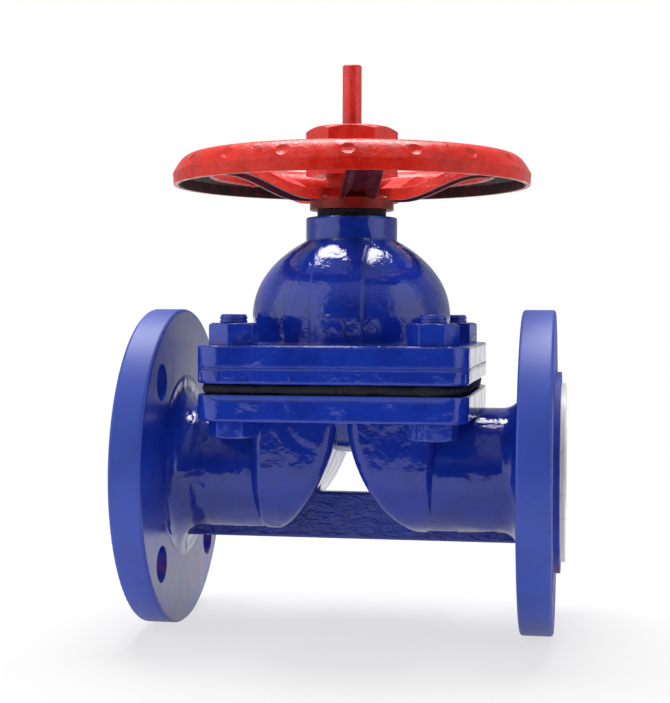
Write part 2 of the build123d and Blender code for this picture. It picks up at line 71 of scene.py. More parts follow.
class Rides(Enum):
    """The three bodies of the valve that pieces ride on."""

    CASING = "casing"
    WHEEL = "wheel"
    SPINDLE = "spindle"


class Slot(Enum):
    """The record's material slots by name; no piece here is given one."""

    BLUE = "blue_enamel"
    RED = "red_enamel"
    LINING = "lining_white"
    RUBBER = "rubber_black"


def linear(colour: tuple[int, int, int]) -> tuple[float, float, float, float]:
    """Turns an 8-bit display colour into Blender's linear colour.

    Args:
        colour: Red, green and blue from 0 to 255.
    """
    parts = [c / 255 for c in colour]
    parts = [p / 12.92 if p <= 0.04045 else ((p + 0.055) / 1.055) ** 2.4 for p in parts]
    return (parts[0], parts[1], parts[2], 1.0)


class Graph:
    """Adds and joins the shader nodes of one material or the world."""

    def __init__(self, name: str, world: bool = False) -> None:
        """Starts an empty tree with its output and its coordinates.

        Args:
            name: The name of the material or the world.
            world: Whether the tree is a world's.
        """
        self.material = bpy.data.worlds.new(name) if world else bpy.data.materials.new(name)
        self.material.use_nodes = True
        self.tree = self.material.node_tree
        self.tree.nodes.clear()
        self.output = self.add("ShaderNodeOutputWorld" if world else "ShaderNodeOutputMaterial")
        self.place = self.add("ShaderNodeTexCoord").outputs["Generated" if world else "Object"]

    def add(self, kind: str, **settings: object) -> bpy.types.Node:
        """Adds one node.

        Args:
            kind: The node's type name.
            settings: Properties of the node.
        """
        node = self.tree.nodes.new(kind)
        for key, value in settings.items():
            setattr(node, key, value)
        return node

    def feed(self, socket: Socket, value: object) -> None:
        """Sets a socket to a value, or joins it to another node's output."""
        if isinstance(value, Socket):
            self.tree.links.new(value, socket)
        else:
            socket.default_value = value

    def maths(self, operation: str, first: object, second: object = 0.0) -> Socket:
        """Works out one number from two.

        Args:
            operation: The Math node's operation.
            first: A number or an output.
            second: A number or an output.
        """
        node = self.add("ShaderNodeMath", operation=operation)
        self.feed(node.inputs[0], first)
        self.feed(node.inputs[1], second)
        return node.outputs[0]

    def ramp(self, value: object, low: float, high: float, start: float = 0.0, end: float = 1.0) -> Socket:
        """Maps a value smoothly from one range to another, held at both ends.

        Args:
            value: The number or output to map.
            low: Where the ramp starts.
            high: Where the ramp ends.
            start: The result at low.
            end: The result at high.
        """
        node = self.add("ShaderNodeMapRange", interpolation_type="SMOOTHSTEP")
        for index, number in enumerate((value, low, high, start, end)):
            self.feed(node.inputs[index], number)
        return node.outputs[0]

    def window(self, value: object, low: float, high: float, soft: float) -> Socket:
        """Masks a range of a value with soft borders.

        Args:
            value: The number or output.
            low: Where the range starts.
            high: Where it ends.
            soft: Half the width of each border.
        """
        rises = self.ramp(value, low - soft, low + soft)
        return self.maths("MULTIPLY", rises, self.ramp(value, high - soft, high + soft, 1.0, 0.0))

    def product(self, *shares: object) -> Socket:
        """Multiplies any number of masks."""
        result = shares[0]
        for share in shares[1:]:
            result = self.maths("MULTIPLY", result, share)
        return result

    def span(self, first: object, second: object) -> Socket:
        """The length of the diagonal of two lengths."""
        squares = (self.maths("MULTIPLY", side, side) for side in (first, second))
        return self.maths("SQRT", self.maths("ADD", *squares))

    def facing(self) -> Socket:
        """How far a face looks down, from 0 for a wall or a top to 1 for an underside."""
        parts = self.add("ShaderNodeSeparateXYZ")
        self.feed(parts.inputs[0], self.add("ShaderNodeNewGeometry").outputs["True Normal"])
        return self.ramp(parts.outputs[2], -0.15, -0.6)

    def noise(
        self, size: float, detail: float = 2.0, rough: float = 0.5,
        stretch: tuple = (1, 1, 1), bend: float = 0.0
    ) -> Socket:
        """Adds a noise whose lumps have a real size.

        Args:
            size: Size of the lumps in millimetres.
            detail: Octaves of finer lumps.
            rough: How strong the finer lumps are.
            stretch: How often the pattern repeats along each axis, next to the others.
            bend: How much the lumps are distorted.

        Returns:
            The noise, from 0 to 1 round a middle of a half.
        """
        mapping = self.add("ShaderNodeMapping")
        self.feed(mapping.inputs["Vector"], self.place)
        mapping.inputs["Scale"].default_value = stretch
        node = self.add("ShaderNodeTexNoise")
        self.feed(node.inputs["Vector"], mapping.outputs[0])
        node.inputs["Scale"].default_value = 1 / (size * MM)
        node.inputs["Detail"].default_value = detail
        node.inputs["Roughness"].default_value = rough
        node.inputs["Distortion"].default_value = bend
        return node.outputs[0]

    def mix(self, share: object, first: object, second: object) -> Socket:
        """Mixes two colours.

        Args:
            share: Share of the second colour.
            first: Linear colour or output.
            second: Linear colour or output.
        """
        node = self.add("ShaderNodeMix", data_type="RGBA")
        self.feed(node.inputs[0], share)
        self.feed(node.inputs[6], first)
        self.feed(node.inputs[7], second)
        return node.outputs[2]

    def bump(self, height: object, depth: float, normal: object = None) -> Socket:
        """Adds surface relief.

        Args:
            height: The relief's pattern, from 0 to 1.
            depth: Its full depth in millimetres.
            normal: The normal that it is laid on, if any.
        """
        node = self.add("ShaderNodeBump")
        node.inputs["Strength"].default_value = 1.0
        node.inputs["Distance"].default_value = depth * MM
        self.feed(node.inputs["Height"], height)
        if normal is not None:
            self.feed(node.inputs["Normal"], normal)
        return node.outputs[0]

    def edges(self, radius: float) -> tuple[Socket, Socket]:
        """Finds the sharp edges of a piece.

        Args:
            radius: How far from the edge the effect reaches, in millimetres.

        Returns:
            The mask of the edges, and a normal that is rounded over them.
        """
        rounded = self.add("ShaderNodeBevel", samples=4)
        rounded.inputs["Radius"].default_value = radius * MM
        face = self.add("ShaderNodeNewGeometry").outputs["Normal"]
        product = self.add("ShaderNodeVectorMath", operation="DOT_PRODUCT")
        self.feed(product.inputs[0], rounded.outputs[0])
        self.feed(product.inputs[1], face)
        return self.ramp(product.outputs["Value"], 0.995, 0.86), rounded.outputs[0]

    def coordinates(self) -> tuple[Socket, Socket, Socket]:
        """The X, Y and Z of a point of the piece, in metres."""
        node = self.add("ShaderNodeSeparateXYZ")
        self.feed(node.inputs[0], self.place)
        return node.outputs[0], node.outputs[1], node.outputs[2]

    def surface(self, colour: object, rough: object, normal: object, **plain: object) -> Paint:
        """Ends the graph in one Principled shader.

        Args:
            colour: Base colour.
            rough: Roughness.
            normal: Normal.
            plain: Other sockets, by name with underscores, set to plain values.
        """
        shader = self.add("ShaderNodeBsdfPrincipled")
        self.feed(shader.inputs["Base Color"], colour)
        self.feed(shader.inputs["Roughness"], rough)
        self.feed(shader.inputs["Normal"], normal)
        for key, value in plain.items():
            shader.inputs[key.replace("_", " ")].default_value = value
        self.feed(self.output.inputs["Surface"], shader.outputs[0])
        return self.material


@dataclass(frozen=True)
class Enamel:
    """Thick glossy paint, brushed and dipped over a cast surface."""

    name: str
    colour: tuple[int, int, int]
    deep: tuple[int, int, int]
    thin: tuple[int, int, int]
    gloss: float = 0.05
    swell: float = 17.0
    swell_depth: float = 1.1
    chop: float = 3.2
    chop_depth: float = 0.27
    grain: float = 0.9
    grain_depth: float = 0.02
    edge: float = 0.6
    soften: float = 0.0

    def relief(self, graph: Graph, normal: object = None, calm: object = 1.0) -> Socket:
        """Lays the paint's slow swell, its chop and its fine grain over the metal.

        Args:
            graph: The material's graph.
            normal: The normal underneath.
            calm: Share of the relief that is kept.
        """
        swell = graph.maths("MULTIPLY", graph.noise(self.swell, 1.0, 0.4, bend=0.6), calm)
        chop = graph.maths("MULTIPLY", graph.noise(self.chop, 2.5, 0.5, bend=0.4), calm)
        normal = graph.bump(chop, self.chop_depth, graph.bump(swell, self.swell_depth, normal))
        return graph.bump(graph.noise(self.grain, 2.0, 0.6), self.grain_depth, normal)

    def shade(self, graph: Graph) -> Socket:
        """Mixes the paint's colour from its pools and its even coats."""
        pools = graph.ramp(graph.noise(16.0, 3.0, 0.6), 0.42, 0.66)
        return graph.mix(pools, linear(self.colour), linear(self.deep))

    def worn(self, graph: Graph, mask: object) -> Socket:
        """Breaks the lighter paint of the edges up into patches."""
        return graph.maths("MULTIPLY", mask, graph.ramp(graph.noise(3.0, 3.0, 0.6), 0.35, 0.6, 0.1, 0.6))

    def roughness(self, graph: Graph) -> Socket:
        """Varies the paint's gloss."""
        return graph.ramp(graph.noise(5.0, 3.0), 0.3, 0.7, self.gloss * 0.6, self.gloss * 1.7)

    def make(self) -> Paint:
        """Builds the material."""
        graph = Graph(self.name)
        mask, rounded = graph.edges(self.edge)
        if self.soften:
            rounded = graph.edges(self.soften)[1]
        colour = graph.mix(self.worn(graph, mask), self.shade(graph), linear(self.thin))
        return graph.surface(colour, self.roughness(graph), self.relief(graph, rounded), IOR=1.55)


@dataclass(frozen=True)
class BodyEnamel(Enamel):
    """The body's paint: satin on the turned flanges, rough on the web, with primer that shows through."""

    primer: tuple[int, int, int] = (150, 66, 66)
    grey: tuple[int, int, int] = (120, 118, 128)
    rim_r: float = 81.2
    face_r: float = 43.0
    face_x: float = 85.5
    raised_x: float = 101.0
    axis_h: float = 80.0
    rim_rough: float = 0.48
    face_rough: float = 0.27
    raised_rough: float = 0.6
    web_half: float = 4.6
    web_low: float = 43.0
    web_high: float = 69.0
    primer_heights: tuple[float, float] = (-30.0, -50.0)
    primer_along: tuple[float, float] = (83.5, 86.5)
    primer_radii: tuple[float, float] = (78.5, 79.5)

    def make(self) -> Paint:
        """Builds the material with its zones."""
        graph = Graph(self.name)
        x, y, z = graph.coordinates()
        height = graph.maths("SUBTRACT", z, self.axis_h * MM)
        radius = graph.span(y, height)
        along = graph.maths("ABSOLUTE", x)
        rim = graph.ramp(radius, (self.rim_r - 2.2) * MM, (self.rim_r - 1.4) * MM)
        face = graph.product(
            graph.ramp(along, (self.face_x - 0.5) * MM, self.face_x * MM),
            graph.ramp(radius, self.face_r * MM, (self.face_r + 4) * MM),
        )
        raised = graph.ramp(along, self.raised_x * MM, (self.raised_x + 0.8) * MM)
        mask, rounded = graph.edges(self.edge)
        colour = graph.mix(self.worn(graph, mask), self.shade(graph), linear(self.thin))
        colour = graph.mix(graph.ramp(rim, 0.0, 1.0, 0.0, 0.3), colour, linear(self.thin))
        low = graph.ramp(height, *(h * MM for h in self.primer_heights))
        spots = graph.ramp(graph.noise(9.0, 4.0, 0.68), 0.4, 0.66, 0.05, 0.6)
        outer = graph.ramp(along, *(a * MM for a in self.primer_along))
        within = graph.ramp(radius, *(r * MM for r in self.primer_radii), 1.0, 0.0)
        second_tone = graph.product(low, outer, within, spots)
        islands = graph.ramp(graph.noise(14.0, 2.0), 0.42, 0.58)
        patch = graph.mix(islands, linear(self.primer), linear(self.grey))
        colour = graph.mix(second_tone, colour, patch)
        rim_of_hole = graph.product(low, mask, face, graph.ramp(graph.noise(8.0, 2.0), 0.4, 0.6, 0.3, 0.95))
        colour = graph.mix(rim_of_hole, colour, linear((206, 132, 138)))
        rough = graph.maths("MAXIMUM", self.roughness(graph), graph.maths("MULTIPLY", rim, self.rim_rough))
        rough = graph.maths("MAXIMUM", rough, graph.maths("MULTIPLY", face, self.face_rough))
        rough = graph.maths("MAXIMUM", rough, graph.maths("MULTIPLY", raised, self.raised_rough))
        calm = graph.product(graph.ramp(rim, 0.0, 1.0, 1.0, 0.06), graph.ramp(face, 0.0, 1.0, 1.0, 0.16))
        relief = self.relief(graph, rounded, calm)
        web = graph.product(
            graph.ramp(graph.maths("ABSOLUTE", y), self.web_half * MM, (self.web_half + 0.4) * MM, 1.0, 0.0),
            graph.window(z, self.web_low * MM, self.web_high * MM, 0.0005),
        )
        wrinkles = graph.maths("MULTIPLY", graph.noise(4.0, 4.0, 0.6, (0.6, 1, 1.4), 0.8), web)
        return graph.surface(colour, rough, graph.bump(wrinkles, 1.6, relief), IOR=1.55)


@dataclass(frozen=True)
class WheelEnamel(Enamel):
    """The wheel's paint: a full coat outside, a thin near-black coat in the hollow rim, and painted shade
    under the spokes and on the hub.
    """

    # Near-black colour: a thin coat in the hollow rim, and painted shade under the spokes and on the hub.
    dark_coat_and_shade: tuple[int, int, int] = (40, 20, 24)
    shell_r: float = 79.4
    shell_half: float = 7.9
    shell_low: float = 227.1
    shell_rise: float = 7.1
    under_radii: tuple[float, float] = (68.5, 69.0)
    hub_r: float = 22.0
    hub_top: float = 216.0

    def make(self) -> Paint:
        """Builds the material."""
        graph = Graph(self.name)
        x, y, z = graph.coordinates()
        radius = graph.span(x, y)
        mask, rounded = graph.edges(self.edge)
        colour = graph.mix(self.worn(graph, mask), self.shade(graph), linear(self.thin))
        across = graph.maths("SUBTRACT", radius, self.shell_r * MM)
        across = graph.maths("DIVIDE", across, self.shell_half * MM)
        above = graph.maths("SUBTRACT", z, self.shell_low * MM)
        above = graph.maths("DIVIDE", above, self.shell_rise * MM)
        # The hollow rim's inside takes the thin near-black coat.
        hollow = graph.ramp(graph.span(across, graph.maths("MAXIMUM", above, 0.0)), 0.98, 1.02, 1.0, 0.0)
        # Painted shade: faces that look down inside the lip, under the spokes and the hub, take the
        # near-black colour.
        inner = graph.ramp(radius, *(r * MM for r in self.under_radii), 0.92, 0.0)
        under = graph.product(graph.facing(), inner)
        # Painted shade on the hub, deeper towards its foot.
        hub = graph.product(
            graph.ramp(radius, (self.hub_r - 0.2) * MM, (self.hub_r + 0.6) * MM, 1.0, 0.0),
            graph.ramp(z, (self.hub_top - 5) * MM, (self.hub_top + 8) * MM, 0.72, 0.25),
        )
        # Mixes in the near-black colour: a thin coat in the hollow rim, painted shade under the spokes and
        # on the hub.
        second_tone = graph.maths("MAXIMUM", graph.maths("MAXIMUM", hollow, under), hub)
        second_tone = graph.maths("MULTIPLY", second_tone, graph.ramp(graph.noise(5.0, 3.0), 0.3, 0.62, 0.84, 1.0))
        colour = graph.mix(second_tone, colour, linear(self.dark_coat_and_shade))
        rough = graph.maths("MAXIMUM", self.roughness(graph), graph.maths("MULTIPLY", second_tone, 0.42))
        return graph.surface(colour, rough, self.relief(graph, rounded), IOR=1.36)


@dataclass(frozen=True)
class Lining:
    """White moulded lining, faintly mottled and handled."""

    name: str = "white_lining"
    colour: tuple[int, int, int] = (226, 224, 214)
    grime: tuple[int, int, int] = (178, 172, 158)

    def make(self) -> Paint:
        """Builds the material."""
        graph = Graph(self.name)
        marks = graph.ramp(graph.noise(9.0, 4.0, 0.65), 0.5, 0.78, 0.0, 0.7)
        colour = graph.mix(marks, linear(self.colour), linear(self.grime))
        rough = graph.ramp(graph.noise(2.0, 2.0), 0.3, 0.7, 0.32, 0.5)
        relief = graph.bump(graph.noise(0.9, 2.0), 0.02, graph.bump(graph.noise(12.0, 2.0), 0.25))
        return graph.surface(colour, rough, relief, Subsurface_Weight=0.12, Subsurface_Scale=0.002)


@dataclass(frozen=True)
class Rubber:
    """Black moulded rubber with dust in its low spots."""

    name: str = "black_rubber"
    colour: tuple[int, int, int] = (5, 7, 24)
    dust: tuple[int, int, int] = (24, 26, 52)

    def make(self) -> Paint:
        """Builds the material."""
        graph = Graph(self.name)
        dusty = graph.ramp(graph.noise(3.0, 4.0, 0.7), 0.52, 0.75, 0.0, 0.6)
        colour = graph.mix(dusty, linear(self.colour), linear(self.dust))
        rough = graph.ramp(graph.noise(1.5, 2.0), 0.3, 0.7, 0.6, 0.85)
        relief = graph.bump(graph.noise(0.5, 2.0), 0.03, graph.bump(graph.noise(5.0, 2.0), 0.2))
        return graph.surface(colour, rough, relief)


@dataclass(frozen=True)
class BareMetal:
    """Machined or cast metal without paint."""

    name: str
    colour: tuple[int, int, int]
    stain: tuple[int, int, int]
    rough: float = 0.32
    lay: float = 0.35
    metallic: float = 1.0

    def make(self) -> Paint:
        """Builds the material."""
        graph = Graph(self.name)
        stained = graph.ramp(graph.noise(4.0, 4.0, 0.65), 0.45, 0.72, 0.0, 0.75)
        colour = graph.mix(stained, linear(self.colour), linear(self.stain))
        rough = graph.ramp(graph.noise(2.5, 3.0), 0.3, 0.7, self.rough * 0.75, self.rough * 1.4)
        marks = graph.noise(self.lay, 2.0, 0.5, (1, 1, 6))
        relief = graph.bump(marks, 0.02, graph.bump(graph.noise(3.0, 3.0), 0.06))
        return graph.surface(colour, rough, relief, Metallic=self.metallic)


class Bench:
    """Modelling calls that every sub-assembly shares."""

    def clear(self) -> None:
        """Leaves edit mode and deselects everything."""
        if bpy.context.object and bpy.context.object.mode != "OBJECT":
            bpy.ops.object.mode_set(mode="OBJECT")
        bpy.ops.object.select_all(action="DESELECT")

    def take(self, obj: Piece) -> None:
        """Makes one object the only one that is selected, and active."""
        self.clear()
        obj.select_set(True)
        bpy.context.view_layer.objects.active = obj

    def added(self, name: str) -> Piece:
        """Names the primitive that was just added."""
        obj = bpy.context.object
        obj.name = name
        obj.data.name = name
        return obj

    def edit(self, obj: Piece, mode: str = "VERT") -> bmesh.types.BMesh:
        """Opens an object in edit mode with nothing selected.

        Args:
            obj: The object.
            mode: What is selected, VERT, EDGE or FACE.

        Returns:
            Its mesh, to select parts of it by place or normal.
        """
        self.take(obj)
        bpy.ops.object.mode_set(mode="EDIT")
        bpy.ops.mesh.select_mode(type=mode)
        bpy.ops.mesh.select_all(action="DESELECT")
        mesh = bmesh.from_edit_mesh(obj.data)
        mesh.verts.ensure_lookup_table()
        return mesh

    def pull(self, x: float, y: float, z: float) -> None:
        """Extrudes what is selected by a step in millimetres."""
        bpy.ops.mesh.extrude_region_move(TRANSFORM_OT_translate={"value": (x * MM, y * MM, z * MM)})

    def show(self, obj: Piece, mesh: bmesh.types.BMesh) -> None:
        """Makes what was selected in code known to the operators."""
        mesh.select_flush_mode()
        bmesh.update_edit_mesh(obj.data)

    def done(self, obj: Piece, angle: float = 40.0) -> Piece:
        """Leaves edit mode, applies the object's place and shades it smooth below an angle.

        Args:
            obj: The object.
            angle: Edges that turn by more than this many degrees stay sharp.
        """
        self.take(obj)
        bpy.ops.object.transform_apply(location=True, rotation=True, scale=True)
        bpy.ops.object.shade_smooth_by_angle(angle=math.radians(angle))
        return obj

    def apply(self, obj: Piece, kind: str, **settings: object) -> None:
        """Adds a modifier to an object and applies it.

        Args:
            obj: The object.
            kind: The modifier's type.
            settings: Its properties.
        """
        self.take(obj)
        modifier = obj.modifiers.new(kind.lower(), kind)
        for key, value in settings.items():
            setattr(modifier, key, value)
        bpy.ops.object.modifier_apply(modifier=modifier.name)

    def outward(self, obj: Piece) -> None:
        """Merges doubles and turns every face outwards."""
        self.edit(obj)
        bpy.ops.mesh.select_all(action="SELECT")
        bpy.ops.mesh.remove_doubles(threshold=0.00001)
        bpy.ops.mesh.normals_make_consistent(inside=False)
        bpy.ops.object.mode_set(mode="OBJECT")

    def join(self, parts: list[Piece], name: str) -> Piece:
        """Joins objects into one.

        Args:
            parts: The objects, which become one.
            name: The name of the result.
        """
        self.take(parts[0])
        for part in parts[1:]:
            part.select_set(True)
        if len(parts) > 1:
            bpy.ops.object.join()
        return self.added(name)

    def dress(
        self, obj: Piece, finish: Paint, rides: Rides | None = None
    ) -> Piece:
        """Gives a new piece its finish and its body.

        Args:
            obj: The new piece.
            finish: Its material.
            rides: The body that it moves with, or none for a piece that rides on no body.
        """
        obj.data.materials.clear()
        obj.data.materials.append(finish)
        if rides:
            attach(obj, rides.value)
        LOG.info("piece %s: %d faces", obj.name, len(obj.data.polygons))
        return obj


class Paintbox:
    """Makes each finish once."""

    def __init__(self) -> None:
        """Builds every material of the valve."""
        blue = dict(colour=(25, 54, 167), deep=(19, 46, 151), thin=(62, 94, 190))
        red = dict(colour=(214, 38, 21), deep=(190, 28, 17), thin=(236, 104, 86))
        self.body = BodyEnamel("blue_enamel_body", **blue, chop_depth=0.15).make()
        self.bonnet = Enamel("blue_enamel_bonnet", **blue, swell=20.0, soften=2.0).make()
        self.plate = Enamel("blue_enamel_plate", **blue, swell=12.0, swell_depth=0.7, edge=1.0).make()
        few = dict(chop_depth=0.2, gloss=0.12, edge=1.3)
        self.fasteners = Enamel("blue_enamel_fasteners", **blue, **few).make()
        rough = dict(gloss=0.26, swell=9.0, swell_depth=0.3, chop=1.5, chop_depth=0.18, grain_depth=0.07)
        self.wheel = WheelEnamel("red_enamel_wheel", **red, **rough).make()
        bright = dict(colour=(226, 46, 32), deep=(206, 38, 26), thin=(240, 110, 96))
        calm = dict(gloss=0.3, swell_depth=0.4, chop=2.4, chop_depth=0.16)
        self.nut = Enamel("red_enamel_nut", **bright, **calm).make()
        pale = dict(colour=(226, 52, 46), deep=(206, 42, 38), thin=(236, 100, 92))
        self.rod = Enamel("red_enamel_rod", **pale, gloss=0.34, swell_depth=0.3, chop_depth=0.1).make()
        self.lining = Lining().make()
        self.rubber = Rubber().make()
        self.bronze = BareMetal("bronze", (196, 142, 78), (122, 84, 48)).make()
        self.steel = BareMetal("steel", (170, 172, 176), (110, 104, 98)).make()
        self.iron = BareMetal("cast_iron", (92, 90, 88), (70, 58, 50), rough=0.55, metallic=0.8).make()

    def cover(self, nodes: dict[str, Piece]) -> None:
        """Gives every piece of the frame its finish.

        Args:
            nodes: The frame's pieces by name.
        """
        finishes = {
            "body": self.body,
            "body_lining": self.lining,
            "diaphragm_facing": self.lining,
            "diaphragm": self.rubber,
            "diaphragm_stud": self.steel,
            "finger_plate": self.plate,
            "bonnet": self.bonnet,
            "bonnet_bolts": self.fasteners,
            "bonnet_nuts": self.fasteners,
            "compressor": self.iron,
            "compressor_pin": self.steel,
            "stem": self.rod,
            "spindle_sleeve": self.steel,
            "sleeve_seal": self.rubber,
            "sleeve_bush": self.bronze,
            "thrust_washer": self.bronze,
            "dust_ring": self.rubber,
            "drive_key": self.steel,
            "handwheel": self.wheel,
            "handwheel_nut": self.nut,
        }
        for name, finish in finishes.items():
            for slot in nodes[name].material_slots:
                slot.material = finish
            LOG.info("finish %s: %s", name, finish.name)


@dataclass
class BoltEnds:
    """The painted thread turns that stand out above the nuts."""

    places: tuple[float, float] = (47.2, 57.0)
    thread_r: float = 6.55
    root_r: float = 6.04
    pitch: float = 1.75
    turns: int = 2
    sink: float = 0.2
    plain: float = 0.5
    chamfer: float = 0.28
    chamfer_share: float = 0.86
    soft_edge: float = 0.18

    def thread(self, name: str, x: float, y: float, foot: float) -> Piece:
        """Models one bolt end: a ring drawn up in steps over its threads and closed on top.

        Args:
            name: The piece's name.
            x: The bolt's X, in metres.
            y: The bolt's Y, in metres.
            foot: The height of the nut's top, in metres.
        """
        bench = Bench()
        bench.clear()
        low = foot - self.sink * MM
        bpy.ops.mesh.primitive_circle_add(vertices=48, radius=self.root_r * MM, location=(x, y, low))
        obj = bench.added(name)
        mesh = bench.edit(obj, "EDGE")
        for edge in mesh.edges:
            edge.select = True
        bench.show(obj, mesh)
        swell = self.thread_r / self.root_r
        for turn in range(self.turns):
            for step, share in ((0.34, swell), (0.24, 1.0), (0.34, 1 / swell), (0.08, 1.0)):
                bench.pull(0, 0, step * self.pitch)
                bpy.ops.transform.resize(value=(share, share, 1))
        bench.pull(0, 0, self.plain)
        bench.pull(0, 0, self.chamfer)
        bpy.ops.transform.resize(value=(self.chamfer_share, self.chamfer_share, 1))
        bpy.ops.mesh.edge_face_add()
        bpy.ops.object.mode_set(mode="OBJECT")
        bench.outward(obj)
        sharp = dict(limit_method="ANGLE", angle_limit=math.radians(20))
        bench.apply(obj, "BEVEL", width=self.soft_edge * MM, segments=2, **sharp)
        return bench.done(obj, 60)

    def build(self, paint: Paint) -> None:
        """Models the four ends on top of the nuts."""
        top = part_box("bonnet_nuts")[1].z
        count = 0
        for side_x in (-1, 1):
            for side_y in (-1, 1):
                count += 1
                x, y = side_x * self.places[0] * MM, side_y * self.places[1] * MM
                end = self.thread(f"bolt_end_{count}", x, y, top)
                Bench().dress(end, paint, Rides.CASING)


@dataclass
class HandWheel:
    """The cast handwheel: a hollow rim with grip hollows, a hub and five channel spokes."""

    rim_r: float = 89.5
    draft: float = 0.4
    lip_r: float = 69.3
    wall: float = 3.0
    crown_r: float = 79.8
    low: float = 221.6
    shoulder: float = 227.1
    top: float = 236.4
    lip: float = 227.4
    crown_lean: tuple[float, float] = (2.2, 4.3)
    crown_handles: tuple[float, float] = (4.6, 4.4)
    lip_handle: float = 4.0
    under_lean: tuple[float, float] = (1.4, 2.8)
    under_handles: tuple[float, float] = (3.6, 3.2)
    under_lip_handle: float = 3.0
    rim_steps: int = 216
    hub_steps: int = 96
    hub: tuple[float, float, float, float] = (9.8, 21.1, 12.8, 17.0)
    hub_low: float = 209.7
    hub_ring: float = 5.5
    hub_cone: float = 5.3
    spokes: int = 5
    spoke_turn: float = -75.0
    spoke_ends: tuple[float, float] = (12.0, 71.0)
    climb_from: float = 25.0
    climb_to: float = 64.0
    spoke_low: float = 220.2
    spoke_high: float = 231.7
    spoke_half: tuple[float, float] = (5.5, 9.0)
    spoke_depth: float = 6.0
    spoke_wall: float = 2.4
    spoke_steps: int = 28
    grips: int = 18
    grip_turn: float = -82.2
    grip_ball: float = 9.0
    grip_depth: float = 0.9
    grip_place: tuple[float, float] = (87.2, 231.4)
    grip_tilt: float = 37.0
    grip_flat: float = 0.3
    facet_block: float = 10.0
    facet_share: float = 0.72

    def curve(self, points: tuple, steps: int) -> list[tuple[float, float]]:
        """Points of a cubic curve after its first.

        Args:
            points: Start, two handles and end.
            steps: How many points.
        """
        found = []
        for index in range(1, steps + 1):
            t = index / steps
            shares = ((1 - t) ** 3, 3 * t * (1 - t) ** 2, 3 * t * t * (1 - t), t**3)
            found.append(tuple(sum(s * p[axis] for s, p in zip(shares, points)) for axis in (0, 1)))
        return found

    def draw(self, name: str, points: list[tuple[float, float]]) -> Piece:
        """Draws a closed outline in X and Z by pulling one corner of a plane from point to point.

        Args:
            name: The object's name.
            points: The outline's corners in millimetres.

        Returns:
            The outline, open in edit mode.
        """
        bench = Bench()
        bench.clear()
        bpy.ops.mesh.primitive_plane_add(size=MM, location=(points[0][0] * MM, 0, points[0][1] * MM))
        obj = bench.added(name)
        bench.edit(obj)
        bpy.ops.mesh.select_all(action="SELECT")
        bpy.ops.mesh.merge(type="CENTER")
        last = points[0]
        for point in points[1:]:
            bench.pull(point[0] - last[0], 0, point[1] - last[1])
            last = point
        bpy.ops.mesh.select_all(action="SELECT")
        bpy.ops.mesh.edge_face_add()
        return obj

    def turned(self, name: str, points: list[tuple[float, float]], steps: int) -> Piece:
        """Spins an outline round the stem into a closed ring."""
        obj = self.draw(name, points)
        bpy.ops.mesh.delete(type="ONLY_FACE")
        bpy.ops.mesh.select_all(action="SELECT")
        bpy.ops.mesh.spin(steps=steps, angle=math.tau, center=(0, 0, 0), axis=(0, 0, 1))
        bpy.ops.object.mode_set(mode="OBJECT")
        Bench().outward(obj)
        Bench().done(obj)
        return obj

    def rim(self) -> Piece:
        """Models the hollow rim and cuts its grips."""
        inside, crown = self.rim_r - self.wall, self.crown_r
        lip_in, half = self.lip_r + self.wall, self.wall / 2
        top, under = self.top, self.top - self.wall
        points = [(self.rim_r - self.draft, self.low), (self.rim_r, self.shoulder)]
        lean = self.rim_r - self.crown_lean[0], self.shoulder + self.crown_lean[1]
        points += self.curve((points[-1], lean, (crown + self.crown_handles[0], top), (crown, top)), 12)
        side = (crown - self.crown_handles[1], top), (self.lip_r, top - self.lip_handle)
        points += self.curve((points[-1], *side, (self.lip_r, self.lip)), 12)
        for angle in (0.6, 1.2, 1.9, 2.5, math.pi):
            points.append((self.lip_r + half * (1 - math.cos(angle)), self.lip - half * math.sin(angle)))
        side = (lip_in, under - self.under_lip_handle), (crown - self.under_handles[1], under)
        points += self.curve((points[-1], *side, (crown, under)), 8)
        lean = inside - self.under_lean[0], self.shoulder + self.under_lean[1]
        roof = crown + self.under_handles[0], under
        points += self.curve((points[-1], roof, lean, (inside, self.shoulder)), 8)
        points += [(inside, self.low)]
        ring = self.turned("wheel_rim", points, self.rim_steps)
        cutters = [self.cutter(index) for index in range(self.grips)]
        tool = Bench().join(cutters, "grip_cutters")
        Bench().apply(ring, "BOOLEAN", operation="DIFFERENCE", object=tool, solver="EXACT")
        bpy.data.objects.remove(tool)
        return ring

    def cutter(self, index: int) -> Piece:
        """Models what cuts one grip: a ball for the hollow and a flat block for the facet below it."""
        bench = Bench()
        tilt = math.radians(self.grip_tilt)
        turn = math.radians(self.grip_turn + index * 360 / self.grips)
        away = self.grip_ball - self.grip_depth
        out = (self.grip_place[0] + away * math.cos(tilt)) * MM
        up = (self.grip_place[1] + away * math.sin(tilt)) * MM
        place = (out * math.cos(turn), out * math.sin(turn), up)
        size = dict(segments=40, ring_count=20, radius=self.grip_ball * MM)
        bench.clear()
        bpy.ops.mesh.primitive_uv_sphere_add(location=place, **size)
        ball = bench.added(f"grip_ball_{index}")
        bench.clear()
        side = self.facet_block * MM
        far = (self.rim_r - self.grip_flat) * MM + side / 2
        place = (far * math.cos(turn), far * math.sin(turn), (self.low + self.shoulder) / 2 * MM)
        bpy.ops.mesh.primitive_cube_add(size=side, location=place, rotation=(0, 0, turn))
        block = bench.added(f"grip_block_{index}")
        bench.edit(block)
        bpy.ops.mesh.select_all(action="SELECT")
        bpy.ops.transform.resize(value=(1, 1, self.facet_share), center_override=place)
        bpy.ops.object.mode_set(mode="OBJECT")
        return bench.join([ball, block], f"grip_cutter_{index}")

